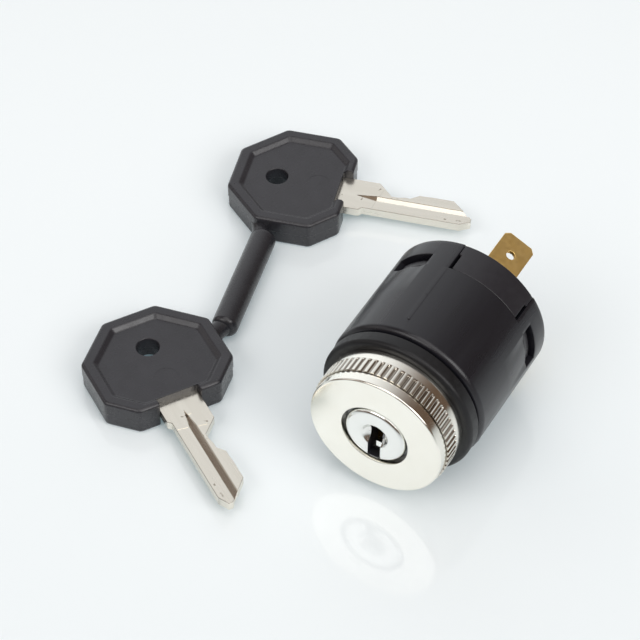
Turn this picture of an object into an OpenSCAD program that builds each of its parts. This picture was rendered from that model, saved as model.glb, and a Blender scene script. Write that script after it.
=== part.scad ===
// Panel-mount key ignition switch, with its two keys joined by a moulded link.
// The switch lies on its side: its axis is level, its face looks along -Y and +Z is up.
// The origin is on the axis, at the plane where the panel is clamped.

/* [Housing] */
// Outside diameter of the housing
housing_d = 30; // [28.6:0.1:33]
// Length of the housing from its front shoulder to its rear rim
housing_len = 24.3; // [22:0.1:28]
// Wall thickness of the housing
housing_wall = 1.8; // [1.7:0.1:2]
// Thickness of the housing's front wall
front_wall = 2; // [1.4:0.1:2.4]
// Open groove between the panel gasket and the housing shoulder
groove_w = 0.5; // [0.3:0.1:0.9]
// Depth of the lead-in ramp where it meets a window
ramp_depth = 0.7; // [0.3:0.1:0.8]
// Length of the lead-in ramp in front of a window
ramp_len = 7.4; // [3:0.1:9]

/* [Panel clamp] */
// Step in from the outside of the housing to the threaded neck
neck_inset = 4.1; // [4:0.1:4.6]
// Thickness of the panel gasket
gasket_t = 2.9; // [2:0.1:4]
// Height of the bezel nut
nut_h = 7.5; // [7:0.1:9]
// Step in from the outside of the housing to the nut's plain rear band
nut_inset = 1.9; // [1.2:0.1:2.2]
// Thickness of the bezel nut's face
nut_face_t = 1.5; // [1:0.1:2]
// Diameter of the hole in the bezel nut's face
face_hole_d = 12.9; // [12.6:0.1:14]
// Number of grooves in the knurl
knurl_count = 64; // [40:1:80]
// Depth of the knurl's grooves
knurl_depth = 0.45; // [0.2:0.05:0.6]
// Length of the knurled band
knurl_len = 2.9; // [1.5:0.1:3.2]

/* [Lock] */
// Diameter of the lock plug
plug_d = 10.4; // [10.2:0.1:10.8]
// Diameter of the steel cap on the plug
cap_d = 11.7; // [11.5:0.1:12.2]
// Diameter of the dish around the keyway
dish_d = 5.2; // [4:0.1:6.4]
// Depth of the dish around the keyway
dish_depth = 1.5; // [0.6:0.1:1.5]
// Width of the keyway
keyway_w = 2.4; // [2.3:0.05:2.6]
// Spacing of the wafers along the plug
wafer_pitch = 2.6; // [2.3:0.1:2.7]

/* [Switch] */
// Thickness of the terminal base
base_t = 4; // [3.6:0.1:4.4]
// Turn of the key from off to start
key_turn = 80; // [60:1:84]
// Width of the terminal tabs
tab_w = 6.3; // [4.8:0.1:6.3]
// Thickness of the terminal tabs
tab_t = 0.8; // [0.6:0.1:1]
// Length of the terminal tabs behind the base
tab_len = 9.7; // [8:0.1:12]
// Distance of the tabs from the outside of the housing
tab_inset = 3.6; // [3.5:0.1:4]
// Angle of the first tab, from +X towards +Z
tab_angle = 65.5; // [60:0.5:70]

/* [Keys] */
// Width of a key head across its flats
head_w = 25.5; // [24:0.5:28]
// Thickness of a key head
head_t = 5.9; // [5:0.1:6.5]
// Width of the raised border around a key head
head_border = 2.5; // [2:0.1:3]
// Depth of the field inside the border
field_depth = 0.8; // [0.4:0.1:1]
// Diameter of the key ring hole
ring_hole_d = 4.3; // [3:0.1:5]
// Width of a key blade
blade_w = 7; // [6.6:0.1:7.2]
// Thickness of a key blade
blade_t = 2; // [1.6:0.1:2.2]
// Length of a key blade in front of its head
blade_len = 24.4; // [24.4:0.1:28]
// Diameter of the link between the heads
link_d = 5; // [4.2:0.1:5.4]

/* [Hidden] */
$fn = 96;

// Levels along the switch axis: the panel plane is 0 and the face is at nut_h
shoulder_z = -gasket_t - groove_w;
rim_z = shoulder_z - housing_len;
wall_z = shoulder_z - front_wall;
flange_t = 2;
flange_z = wall_z - flange_t;
tube_len = housing_len / 2 - 6.55;
tube_z = flange_z - tube_len;
slack = 0.05;
clip_t = 0.8;
clip_z = tube_z - slack - clip_t;
plug_z = clip_z - 0.15;
tail_len = 2.9;
tail_z = plug_z - tail_len;
base_z = rim_z + base_t;
foot_t = 0.8;
foot_z = base_z + foot_t;
dome_h = 0.7;
bridge_t = 0.8;
bridge_z = foot_z + dome_h + slack;
rotor_z = bridge_z + bridge_t + 1.15;
hub_z = plug_z - 0.2;
rotor_top_z = hub_z - 1;
nose_z = nut_h - nut_face_t - 0.4;
cap_z = nose_z + 0.1;

// Radii around the switch axis
housing_r = housing_d / 2;
cavity_r = housing_r - housing_wall;
neck_r = housing_r - neck_inset;
nut_r = housing_r - nut_inset;
plug_r = plug_d / 2;
bore_r = plug_r + slack;
cap_r = cap_d / 2;
tube_r = bore_r + 2.75;
wire_d = 1;
spring_r = tube_r + wire_d / 2 + 0.7;
rotor_r = cavity_r - 0.8;
base_r = cavity_r - 0.1;
tab_r = housing_r - tab_inset;
rivet_r = tab_r - 2.8;
pin_r = 5;
thread_gap = 0.25;

// Snap windows stand midway between the tabs, and the base's tongues behind them
window_angle = tab_angle + 63;
window_half = 15.5;
window_len = 2.8;
window_z = base_z - 0.1;
tongue_half = 30;
tongue_z = window_z + 2.5;
slit_half = 2.1;

// Keyway, wafers and their springs
keyway_top = 1.9;
keyway_bottom = -5.3;
ward_y = -1.4;
ward_h = 1;
ward_w = 0.45;
wafer_t = 1;
wafer_half = 2.6;
first_wafer_z = nose_z - 2.2;
key_cuts = [1, 1.3, 2.5, 2.6, 2.6];
pocket_x = 3.4;
pocket_half = 0.75;

// Return spring ends, and the places of the detent balls at rest
spring_turns = max(1, floor((tube_len - 1.8) / 1.05));
leg_angle = 200;
ball_r = 1.5;
ball_angles = [120, 300];
detent_z = (rotor_z + rotor_top_z) / 2;
ball_reach = cavity_r - 0.1 - ball_r;
ball_seat_r = ball_reach - ball_r - 3.3;

// Keys on the table: centre of each head and the way its blade points
key_places = [[-48.2, 49.4, 15.9], [-46.4, -4.3, -33.2]];
head_a = head_w / 2;
head_cut = 2.7;
head_edge = 0.4;
front_x = head_a - head_cut;
shoulder_w = blade_w + 1;
tang_x = -1.4;
root_in = 2;
first_cut = 8.8;
cut_floor = blade_w / 2;
hole_x = -4.2;
mark_x = 4;

// Lays a piece that was drawn along +Z on its side, with its front to -Y
module lay() {
    rotate([90, 0, 0]) children();
}

// Ring or part of a ring between two radii and two levels
module sector(r0, r1, z0, z1, angle, half) {
    rotate([0, 0, angle - half])
        rotate_extrude(angle = 2 * half)
            translate([r0, z0]) square([r1 - r0, z1 - z0]);
}

// Points of a rounded corner
function arc(centre, r, a0, a1, steps = 5) =
    [for (i = [0:steps]) let (a = a0 + (a1 - a0) * i / steps) centre + r * [cos(a), sin(a)]];

function unit(v) = v / norm(v);

// Wire wound on a cylinder, along a path of angles and levels
module wound_wire(mean_r, d, path, sides = 6) {
    n = len(path);
    centres = [for (p = path) [mean_r * cos(p[0]), mean_r * sin(p[0]), p[1]]];
    points = [for (i = [0:n - 1])
        let (t = unit(centres[min(i + 1, n - 1)] - centres[max(i - 1, 0)]),
             v = unit(cross(t, [cos(path[i][0]), sin(path[i][0]), 0])),
             u = cross(v, t))
        for (k = [0:sides - 1])
            let (a = 360 * k / sides) centres[i] + d / 2 * (cos(a) * u + sin(a) * v)];
    sleeve = [for (i = [0:n - 2]) for (k = [0:sides - 1])
        let (m = (k + 1) % sides, low = i * sides, high = low + sides)
        for (face = [[low + k, low + m, high + m], [low + k, high + m, high + k]]) face];
    ends = [[for (k = [sides - 1:-1:0]) k], [for (k = [0:sides - 1]) (n - 1) * sides + k]];
    polyhedron(points = points, faces = concat(sleeve, ends), convexity = 8);
}

// Compression spring that stands on z = 0
module coil_spring(outer_d, d, height, turns) {
    steps = turns * 10;
    path = [for (i = [0:steps]) [360 * turns * i / steps, d / 2 + (height - d) * i / steps]];
    wound_wire((outer_d - d) / 2, d, path);
}

// Straight rod between two points at one level
module rod(a, b, z, d) {
    way = b - a;
    translate([a[0], a[1], z])
        rotate([0, 90, atan2(way[1], way[0])])
            cylinder(d = d, h = norm(way), $fn = 48);
}

function wafer_z(i) = first_wafer_z - wafer_pitch * i;

module bezel_nut() {
    edge = 0.35;
    band_r = nut_r - 0.35;
    knurl_top = nut_h - 2.2;
    knurl_low = knurl_top - knurl_len;
    thread_r = neck_r + thread_gap;
    shell = concat(
        [[thread_r, 0], [nut_r - 0.2, 0], [nut_r, 0.2], [nut_r, knurl_low], [band_r, knurl_low]],
        arc([band_r - edge, nut_h - edge], edge, 0, 90),
        [[face_hole_d / 2 + 0.2, nut_h], [face_hole_d / 2, nut_h - 0.2], [face_hole_d / 2, nut_h - nut_face_t],
         [thread_r, nut_h - nut_face_t]]
    );
    tip_r = nut_r + 0.1;
    pitch = 360 / knurl_count;
    teeth = [for (i = [0:knurl_count - 1]) for (s = [[-0.32, tip_r], [0.32, tip_r], [0.5, tip_r - knurl_depth]])
        let (a = (i + s[0]) * pitch) s[1] * [cos(a), sin(a)]];
    color("#d9d6cc") lay() {
        rotate_extrude() polygon(shell);
        translate([0, 0, knurl_low]) difference() {
            linear_extrude(knurl_len) polygon(teeth);
            translate([0, 0, -1]) cylinder(r = band_r - 0.6, h = knurl_len + 2);
        }
    }
}

module panel_gasket() {
    outer_r = housing_r - 0.3;
    edge = 0.9;
    profile = concat(
        [[neck_r + thread_gap, -gasket_t], [outer_r - 0.3, -gasket_t], [outer_r, 0.3 - gasket_t]],
        arc([outer_r - edge, -edge], edge, 0, 90),
        [[neck_r + thread_gap, 0]]
    );
    color("#1b1b1c") lay() rotate_extrude() polygon(profile);
}

module housing() {
    edge = 0.5;
    boss_r = cavity_r - 0.2;
    hole_r = neck_r + 0.1;
    profile = concat(
        [[hole_r, wall_z], [cavity_r, wall_z], [cavity_r, rim_z], [housing_r - 0.3, rim_z], [housing_r, rim_z + 0.3]],
        arc([housing_r - edge, shoulder_z - edge], edge, 0, 90),
        [[boss_r, shoulder_z], [boss_r, -gasket_t], [hole_r, -gasket_t]]
    );
    ramp_z = window_z + window_len;
    slope = ramp_len / ramp_depth;
    ramp = [[housing_r + 0.3, ramp_z + slope * (ramp_depth + 0.3)], [housing_r + 0.3, ramp_z - 0.5],
            [housing_r - ramp_depth, ramp_z - 0.5], [housing_r - ramp_depth, ramp_z]];
    color("#232325") lay() difference() {
        rotate_extrude() polygon(profile);
        for (k = [0:2]) {
            sector(cavity_r - 1, housing_r + 1, window_z, ramp_z, window_angle + 120 * k, window_half);
            rotate([0, 0, window_angle + 120 * k - window_half])
                rotate_extrude(angle = 2 * window_half) polygon(ramp);
            sector(cavity_r - 1, housing_r + 1, rim_z - 1, tongue_z + 0.1, tab_angle + 120 * k, tongue_half + 0.2);
        }
        for (a = ball_angles) for (turn = [0, key_turn / 2, key_turn])
            rotate([0, 0, a - turn])
                translate([cavity_r + 0.4 - 1.7, 0, detent_z - 2]) cylinder(r = 1.7, h = 4, $fn = 48);
    }
}

module lock_barrel() {
    flange_r = cavity_r - 0.2;
    channel_low = wafer_z(len(key_cuts) - 1) - 1;
    color("#a9aaac") lay() difference() {
        union() {
            translate([0, 0, wall_z - slack]) cylinder(r = neck_r, h = nose_z - wall_z + slack);
            translate([0, 0, flange_z]) cylinder(r = flange_r, h = flange_t);
            translate([0, 0, tube_z]) cylinder(r = tube_r, h = tube_len + slack);
        }
        translate([0, 0, tube_z - 1]) cylinder(r = bore_r, h = nose_z - tube_z + 2);
        for (side = [0, 180])
            rotate([0, 0, side])
                translate([-wafer_half - 0.2, 0, channel_low])
                    cube([2 * wafer_half + 0.4, bore_r + 1, first_wafer_z + 1 - channel_low]);
        rotate([0, 0, leg_angle])
            translate([spring_r, 0, flange_z - 1]) cylinder(d = wire_d + 0.2, h = flange_t, $fn = 32);
    }
}

module lock_plug() {
    head_z = cap_z + 0.1;
    keyway_low = wafer_z(len(key_cuts) - 1) - 1.4;
    color("#b9a06a") lay() difference() {
        union() {
            translate([0, 0, plug_z]) cylinder(r = plug_r, h = head_z - plug_z);
            translate([-3, -1.2, tail_z]) cube([6, 2.4, tail_len + 1]);
        }
        difference() {
            translate([0, 0, clip_z - slack]) cylinder(r = plug_r + 1, h = clip_t + slack);
            translate([0, 0, clip_z - 1]) cylinder(r = plug_r - 1, h = clip_t + 2);
        }
        difference() {
            translate([-keyway_w / 2, keyway_bottom, keyway_low])
                cube([keyway_w, keyway_top - keyway_bottom, head_z - keyway_low + 1]);
            translate([keyway_w / 2 - ward_w, ward_y - ward_h / 2, keyway_low - 1])
                cube([1, ward_h, head_z - keyway_low + 3]);
        }
        for (i = [0:len(key_cuts) - 1]) translate([0, 0, wafer_z(i)]) {
            translate([-wafer_half - 0.03, -plug_r - 1, -wafer_t / 2 - 0.03])
                cube([2 * wafer_half + 0.06, 2 * plug_r + 2, wafer_t + 0.06]);
            translate([wafer_half - 0.1, -2.6, -pocket_half])
                cube([pocket_x + pocket_half - wafer_half + 0.1, 4.6, 2 * pocket_half]);
        }
    }
}

module plug_cap() {
    edge = 0.8;
    profile = concat(
        [[0, cap_z], [cap_r, cap_z]],
        arc([cap_r - edge, nut_h - edge], edge, 0, 90),
        [[dish_d / 2, nut_h], [dish_d / 2 - 0.2, nut_h - 0.15], [dish_d / 2 - 0.45, nut_h - dish_depth],
         [0, nut_h - dish_depth]]
    );
    color("#e4e4e2") lay() difference() {
        rotate_extrude() polygon(profile);
        translate([0, 0, cap_z - 1]) cylinder(r = plug_r + 0.02, h = 1.12);
        difference() {
            translate([-keyway_w / 2, keyway_bottom, cap_z - 1])
                cube([keyway_w, keyway_top - keyway_bottom, nut_h]);
            translate([keyway_w / 2 - ward_w, ward_y - ward_h / 2, cap_z - 2]) cube([1, ward_h, 4.2]);
        }
    }
}

// Plate with a window for the key and a lug for its spring, drawn in flush with the plug
module wafer(i) {
    rest_y = keyway_bottom + 1.1 + (key_cuts[i] - key_cuts[0]) / 4;
    color("#c2a35c") lay() translate([0, 0, wafer_z(i) - wafer_t / 2]) {
        difference() {
            intersection() {
                cylinder(r = plug_r - 0.1, h = wafer_t);
                translate([-wafer_half, -plug_r, -1]) cube([2 * wafer_half, 2 * plug_r, wafer_t + 2]);
            }
            translate([-keyway_w / 2 - 0.15, rest_y, -1])
                cube([keyway_w + 0.3, keyway_top + 0.3 - rest_y, wafer_t + 2]);
        }
        translate([wafer_half - 0.5, 1, 0]) cube([pocket_x + 0.5 - wafer_half + 0.5, 0.8, wafer_t]);
    }
}

module wafer_spring(i) {
    color("#8d9094") lay()
        translate([pocket_x, -2.57, wafer_z(i)])
            rotate([-90, 0, 0]) coil_spring(1.3, 0.22, 3.54, 5);
}

module plug_clip() {
    color("#5d6064") lay() translate([0, 0, clip_z]) difference() {
        cylinder(r = plug_r + 1.6, h = clip_t - slack);
        translate([0, 0, -1]) cylinder(r = plug_r - 0.95, h = 3);
        translate([0, -plug_r * 0.7, -1]) cube([plug_r + 3, plug_r * 1.4, 3]);
    }
}

module return_spring() {
    top = flange_z - 0.8;
    low = tube_z + 1;
    steps = 24 * spring_turns;
    turn = 360 * spring_turns;
    coil = [for (i = [0:steps]) [leg_angle - turn * i / steps, top - (top - low) * i / steps]];
    rear = [[leg_angle - turn - 4, low - 0.2], [leg_angle - turn - 6, low - 0.7], [leg_angle - turn - 6.5, low - 1.4],
            [leg_angle - turn - 6.5, rotor_top_z - 1.2]];
    front = [[leg_angle, flange_z + 0.8], [leg_angle, flange_z], [leg_angle - 0.5, top + 0.25]];
    color("#9a9da1") lay() wound_wire(spring_r, wire_d, concat(front, [for (i = [1:steps]) coil[i]], rear), 8);
}

module rotor() {
    slot_from = leg_angle - 16;
    slot_to = leg_angle + key_turn + 8;
    color("#efeeea") lay() difference() {
        union() {
            translate([0, 0, rotor_z]) cylinder(r = rotor_r, h = rotor_top_z - rotor_z);
            translate([0, 0, rotor_z]) cylinder(r = 6.5, h = hub_z - rotor_z);
            for (side = [0, 180])
                rotate([0, 0, side + 30])
                    translate([pin_r, 0, bridge_z + 0.1]) cylinder(r = 1.1, h = rotor_z - bridge_z, $fn = 32);
        }
        translate([-3.1, -1.3, tail_z - 0.2]) cube([6.2, 2.6, 8]);
        translate([0, 0, rotor_z - 1]) cylinder(r = 3.4, h = 2.6);
        sector(spring_r - 0.8, spring_r + 0.8, rotor_top_z - 1.6, rotor_top_z + 1,
            (slot_from + slot_to) / 2, (slot_to - slot_from) / 2);
        for (a = ball_angles) rotate([0, 0, a])
            translate([ball_seat_r, 0, detent_z]) rotate([0, 90, 0]) cylinder(r = ball_r + 0.1, h = 8, $fn = 48);
    }
}

module contact_bridge() {
    color("#b8733c") lay() translate([0, 0, bridge_z]) difference() {
        union() {
            cylinder(r = pin_r + 1.6, h = bridge_t);
            for (k = [0:2])
                rotate([0, 0, tab_angle + 60 + 120 * k])
                    translate([0, -2.2, 0]) cube([rivet_r + 1.4, 4.4, bridge_t]);
        }
        for (side = [0, 180])
            rotate([0, 0, side + 30]) translate([pin_r, 0, -1]) cylinder(r = 1.25, h = 3, $fn = 32);
    }
}

module contact_spring() {
    color("#9a9da1") lay()
        translate([0, 0, bridge_z + bridge_t + slack])
            coil_spring(6, 0.5, rotor_z + 1.6 - bridge_z - bridge_t - 2 * slack, 3);
}

module detent_ball(i) {
    color("#c9cbce") lay() rotate([0, 0, ball_angles[i]]) translate([ball_reach, 0, detent_z]) sphere(r = ball_r);
}

module detent_spring(i) {
    color("#9a9da1") lay() rotate([0, 0, ball_angles[i]])
        translate([ball_seat_r + slack, 0, detent_z])
            rotate([0, 90, 0]) coil_spring(2.5, 0.35, ball_reach - ball_r - ball_seat_r - 2 * slack, 5);
}

module terminal_base() {
    tongue_r = housing_r - 0.08;
    hook_r = housing_r - 1;
    hook_top = window_z + window_len - 0.5;
    slit_z = window_z - 1.2;
    color("#1f1f21") lay() difference() {
        union() {
            translate([0, 0, rim_z]) cylinder(r = base_r, h = base_t);
            for (k = [0:2]) {
                sector(tab_r + 0.7, tongue_r, rim_z + 0.15, tongue_z, tab_angle + 120 * k, tongue_half);
                sector(base_r - 0.9, base_r - 0.1, base_z - 0.5, hook_top, window_angle + 120 * k, 11);
                sector(base_r - 0.5, hook_r, window_z + 0.6, hook_top - 0.15, window_angle + 120 * k, 13);
            }
        }
        for (k = [0:2]) {
            for (side = [-1, 1])
                sector(base_r - 0.3, housing_r + 1, slit_z, tongue_z + 1,
                    tab_angle + 120 * k + side * (tongue_half - slit_half / 2 + 0.5), slit_half / 2 + 0.5);
            rotate([0, 0, tab_angle + 120 * k]) {
                translate([tab_r - tab_t / 2 - 0.02, -tab_w / 2 - 0.05, rim_z - 1])
                    cube([tab_t + 0.04, tab_w + 0.1, base_t + 2]);
                translate([rivet_r, 0, base_z - 2.5]) cylinder(r = 1.22, h = 4, $fn = 32);
            }
        }
    }
}

// Tab with a latch hole, and a foot folded in over the base
module terminal(k) {
    bevel = 0.8;
    tip_z = rim_z - tab_len;
    half = tab_w / 2;
    blade = [[-half, foot_z], [-half, tip_z + bevel], [bevel - half, tip_z], [half - bevel, tip_z],
             [half, tip_z + bevel], [half, foot_z]];
    color("#b0904c") lay() rotate([0, 0, tab_angle + 120 * k]) difference() {
        union() {
            translate([tab_r - tab_t / 2, 0, 0])
                rotate([90, 0, 90]) linear_extrude(tab_t) polygon(blade);
            translate([rivet_r - 2, -2.5, base_z]) cube([tab_r - rivet_r + 2, 5, foot_t]);
        }
        translate([tab_r - 2, 0, tip_z + 4.4]) rotate([0, 90, 0]) cylinder(d = 1.7, h = 4, $fn = 48);
        translate([rivet_r, 0, base_z - 1]) cylinder(r = 1.22, h = 3, $fn = 32);
    }
}

module contact_rivet(k) {
    color("#c7c3b8") lay() rotate([0, 0, tab_angle + 120 * k]) translate([rivet_r, 0, 0]) {
        translate([0, 0, base_z - 2.4]) cylinder(r = 1.2, h = 2.4 + foot_t + 0.1, $fn = 32);
        translate([0, 0, foot_z]) cylinder(r = 1.7, h = dome_h, $fn = 48);
    }
}

// Octagon with its blade side set back, drawn with the blade along +X
function head_outline(a, cut) = let (s = a * tan(22.5))
    [[a - cut, -s - cut], [a - cut, s + cut], [s, a], [-s, a], [-a, s], [-a, -s], [-s, -a], [s, -a]];

// Puts a key on the table that the housing lies on
module on_table(i) {
    translate([key_places[i][0], key_places[i][1], -housing_r]) rotate([0, 0, key_places[i][2]]) children();
}

// Point of a key's own drawing, seen from above
function seen(i, p) = let (t = key_places[i][2])
    [key_places[i][0] + p[0] * cos(t) - p[1] * sin(t), key_places[i][1] + p[0] * sin(t) + p[1] * cos(t)];

module head_blank() {
    shape = head_outline(head_a, head_cut);
    taper = (head_a - head_edge) / head_a;
    hull() {
        linear_extrude(head_t) polygon(taper * shape);
        translate([0, 0, head_edge]) linear_extrude(head_t - 2 * head_edge) polygon(shape);
    }
}

module key_head() {
    field = head_outline(head_a - head_border, head_cut - 0.8);
    notch_h = (head_t - blade_t) / 2;
    difference() {
        head_blank();
        for (z = [-1, head_t - field_depth]) translate([0, 0, z]) linear_extrude(field_depth + 1) polygon(field);
        for (z = [-1, head_t - notch_h]) translate([front_x - root_in, -shoulder_w / 2, z])
            cube([4, shoulder_w, notch_h + 1]);
        translate([hole_x, 0, -1]) cylinder(d = ring_hole_d, h = head_t + 2);
        translate([mark_x, 0, head_t - field_depth - 0.12]) cylinder(d = 4.4, h = 1);
        translate([tang_x - 0.02, -blade_w / 2 + 0.48, notch_h - 0.02])
            cube([front_x - tang_x - root_in + 0.04, blade_w - 0.96, blade_t + 0.04]);
        translate([front_x - root_in - 0.02, -shoulder_w / 2 - 0.02, notch_h - 0.02])
            cube([4, shoulder_w + 0.04, blade_t + 0.04]);
    }
}

module key_heads() {
    corner = seen(0, [-head_a * tan(22.5), -head_a]);
    side = seen(1, [-3.3, head_a]);
    link_ends = [corner + [2.6, -0.8], side + [0.8, 2]];
    way = unit(link_ends[1] - link_ends[0]);
    mid_z = head_t / 2 - housing_r;
    r = link_d / 2;
    length = norm(link_ends[1] - link_ends[0]);
    profile = concat([[0, 0]], arc([r - 1, 1], 1, -90, 0), arc([r - 1, length - 1], 1, 0, 90), [[0, length]]);
    color("#3a3a3d") {
        for (i = [0, 1]) on_table(i) key_head();
        translate([link_ends[0][0], link_ends[0][1], mid_z])
            rotate([0, 90, atan2(way[1], way[0])]) rotate_extrude($fn = 64) polygon(profile);
        rod(corner + [-0.4, 2.6], link_ends[0] + 1.1 * way + [-0.4, 0.1], mid_z, 3.4);
        rod(side + [-0.3, -1.2], link_ends[1] - 1.6 * way, mid_z, 3.6);
    }
}

// Blade in outline, with its cuts at the wafers' spacing and its tang inside the head
module key_blade(i) {
    half = blade_w / 2;
    tang = half - 0.5;
    root_x = front_x - root_in;
    tip_x = front_x + blade_len;
    first_x = front_x + first_cut;
    cut_tops = [for (j = [0:len(key_cuts) - 1]) for (e = [-0.5, 0.5])
        [first_x + wafer_pitch * j + e, half - cut_floor + key_cuts[j]]];
    outline = concat(
        [[tang_x, -tang], [root_x, -tang], [root_x, -shoulder_w / 2], [front_x + 2.8, -shoulder_w / 2],
         [front_x + 3.4, -half], [tip_x - 2, -half], [tip_x, 1.3 - half], [tip_x, 2.1 - half],
         [tip_x - 4.2, half - 0.9]],
        [for (j = [len(cut_tops) - 1:-1:0]) cut_tops[j]],
        [[front_x + 5.4, shoulder_w / 2], [root_x, shoulder_w / 2], [root_x, tang], [tang_x, tang]]
    );
    groove = [[front_x + 1.9, 0], [front_x + 4.5, -0.7], [tip_x + 1, -0.7], [tip_x + 1, 0.7], [front_x + 4.5, 0.7]];
    color("#bdb9ae") on_table(i) translate([0, 0, (head_t - blade_t) / 2]) difference() {
        linear_extrude(blade_t) polygon(outline);
        for (z = [-1, blade_t - ward_w - 0.1]) translate([0, -0.2, z]) linear_extrude(ward_w + (z < 0 ? 1.1 : 2)) polygon(groove);
    }
}

bezel_nut();
panel_gasket();
housing();
lock_barrel();
lock_plug();
plug_cap();
wafer(0);  // wafer_1
wafer(1);  // wafer_2
wafer(2);  // wafer_3
wafer(3);  // wafer_4
wafer(4);  // wafer_5
wafer_spring(0);  // wafer_spring_1
wafer_spring(1);  // wafer_spring_2
wafer_spring(2);  // wafer_spring_3
wafer_spring(3);  // wafer_spring_4
wafer_spring(4);  // wafer_spring_5
plug_clip();
return_spring();
rotor();
contact_bridge();
contact_spring();
detent_ball(0);  // detent_ball_1
detent_ball(1);  // detent_ball_2
detent_spring(0);  // detent_spring_1
detent_spring(1);  // detent_spring_2
terminal_base();
terminal(0);  // terminal_1
terminal(1);  // terminal_2
terminal(2);  // terminal_3
contact_rivet(0);  // contact_rivet_1
contact_rivet(1);  // contact_rivet_2
contact_rivet(2);  // contact_rivet_3
key_heads();
key_blade(0);  // key_blade_1
key_blade(1);  // key_blade_2
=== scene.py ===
from math import cos, pi, radians, sin, tan
import bmesh
import bpy
from mathutils import Matrix, Vector


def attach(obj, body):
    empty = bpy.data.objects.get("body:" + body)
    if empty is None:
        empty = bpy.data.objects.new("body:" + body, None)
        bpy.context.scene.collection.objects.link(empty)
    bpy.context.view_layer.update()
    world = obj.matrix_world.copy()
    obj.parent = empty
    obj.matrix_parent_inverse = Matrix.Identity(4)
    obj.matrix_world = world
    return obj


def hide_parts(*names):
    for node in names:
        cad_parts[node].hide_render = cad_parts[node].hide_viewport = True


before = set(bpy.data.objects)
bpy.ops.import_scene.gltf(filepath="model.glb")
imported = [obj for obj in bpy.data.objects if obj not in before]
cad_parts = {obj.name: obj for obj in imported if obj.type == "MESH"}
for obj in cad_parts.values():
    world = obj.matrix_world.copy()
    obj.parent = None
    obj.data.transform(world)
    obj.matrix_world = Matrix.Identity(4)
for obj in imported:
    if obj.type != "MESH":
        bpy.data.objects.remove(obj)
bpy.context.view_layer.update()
mm = 0.001
scene = bpy.context.scene
scene.view_settings.view_transform = 'Standard'
print("frame loaded with", len(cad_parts), "nodes")


# Small tools for colours, nodes and meshes
def linear(hexText):  # sRGB hex to linear
    parts = [int(hexText[i:i + 2], 16) / 255 for i in (1, 3, 5)]
    return tuple(c / 12.92 if c <= 0.04045 else ((c + 0.055) / 1.055) ** 2.4 for c in parts) + (1.0,)


def addNode(tree, kind, inputs=None, **settings):  # one node with its settings, values and links
    node = tree.nodes.new(kind)
    for name, value in settings.items():
        setattr(node, name, value)
    for name, value in (inputs or {}).items():
        if isinstance(value, bpy.types.NodeSocket):
            tree.links.new(value, node.inputs[name])
        else:
            node.inputs[name].default_value = value
    return node


def perMm(size):  # texture scale for features of this size in mm, on coordinates in metres
    return 1 / (size * mm)


def startMaterial(name, sockets):  # shader with its fixed values, and object coordinates
    material = bpy.data.materials.new(name)
    material.use_nodes = True
    tree = material.node_tree
    tree.nodes.clear()
    shader = addNode(tree, 'ShaderNodeBsdfPrincipled', sockets)
    addNode(tree, 'ShaderNodeOutputMaterial', {'Surface': shader.outputs['BSDF']})
    coords = addNode(tree, 'ShaderNodeTexCoord').outputs['Object']
    return material, tree, shader, coords


def layFinish(tree, shader, vector, tones, toneSize, rough, roughSize, bumps):
    # cloudy tone, patchy gloss, and a stack of fine reliefs given as (height socket, depth in mm)
    cloud = addNode(tree, 'ShaderNodeTexNoise', {'Vector': vector, 'Scale': perMm(toneSize), 'Detail': 4.0})
    tone = addNode(tree, 'ShaderNodeMix', {0: cloud.outputs[0], 6: linear(tones[0]), 7: linear(tones[1])},
                   data_type='RGBA')
    patch = addNode(tree, 'ShaderNodeTexNoise',
                    {'Vector': vector, 'Scale': perMm(roughSize), 'Detail': 3.0})
    gloss = addNode(tree, 'ShaderNodeMapRange',
                    {'Value': patch.outputs[0], 1: 0.3, 2: 0.7, 3: rough[0], 4: rough[1]})
    tree.links.new(tone.outputs[2], shader.inputs['Base Color'])
    tree.links.new(gloss.outputs[0], shader.inputs['Roughness'])
    normal = None
    for height, depth in bumps:
        inputs = {'Height': height, 'Strength': 1.0, 'Distance': depth * mm}
        if normal:
            inputs['Normal'] = normal
        normal = addNode(tree, 'ShaderNodeBump', inputs).outputs[0]
    if normal:
        tree.links.new(normal, shader.inputs['Normal'])
    return tone.outputs[2]


def turningRings(tree, coords, pitch):  # relief of fine rings round the switch's axis
    flat = addNode(tree, 'ShaderNodeVectorMath', {0: coords, 1: (1, 0, 1)}, operation='MULTIPLY')
    radius = addNode(tree, 'ShaderNodeVectorMath', {0: flat.outputs[0]}, operation='LENGTH')
    rings = addNode(tree, 'ShaderNodeTexNoise',
                    {'W': radius.outputs['Value'], 'Scale': perMm(pitch), 'Detail': 2.0},
                    noise_dimensions='1D')
    return rings.outputs[0]


def arcPoints(cx, cy, r, start, end, steps=6):  # rounded edge in a profile
    return [(cx + r * cos(radians(start + (end - start) * i / steps)),
             cy + r * sin(radians(start + (end - start) * i / steps))) for i in range(steps + 1)]


def turned(profile, segments=160):  # closed (radius, y) profile in mm, turned round the switch's axis
    build = bmesh.new()
    rings = []
    for r, y in profile:
        if r < 1e-6:
            rings.append([build.verts.new((0, y * mm, 0))])
        else:
            rings.append([build.verts.new((r * mm * cos(2 * pi * k / segments), y * mm,
                                           r * mm * sin(2 * pi * k / segments))) for k in range(segments)])
    for i, low in enumerate(rings):
        high = rings[(i + 1) % len(rings)]
        for k in range(segments):
            corners = [low[k % len(low)], low[(k + 1) % len(low)],
                       high[(k + 1) % len(high)], high[k % len(high)]]
            corners = list(dict.fromkeys(corners))
            if len(corners) > 2:
                build.faces.new(corners)
    bmesh.ops.recalc_face_normals(build, faces=build.faces)
    return build


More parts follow.
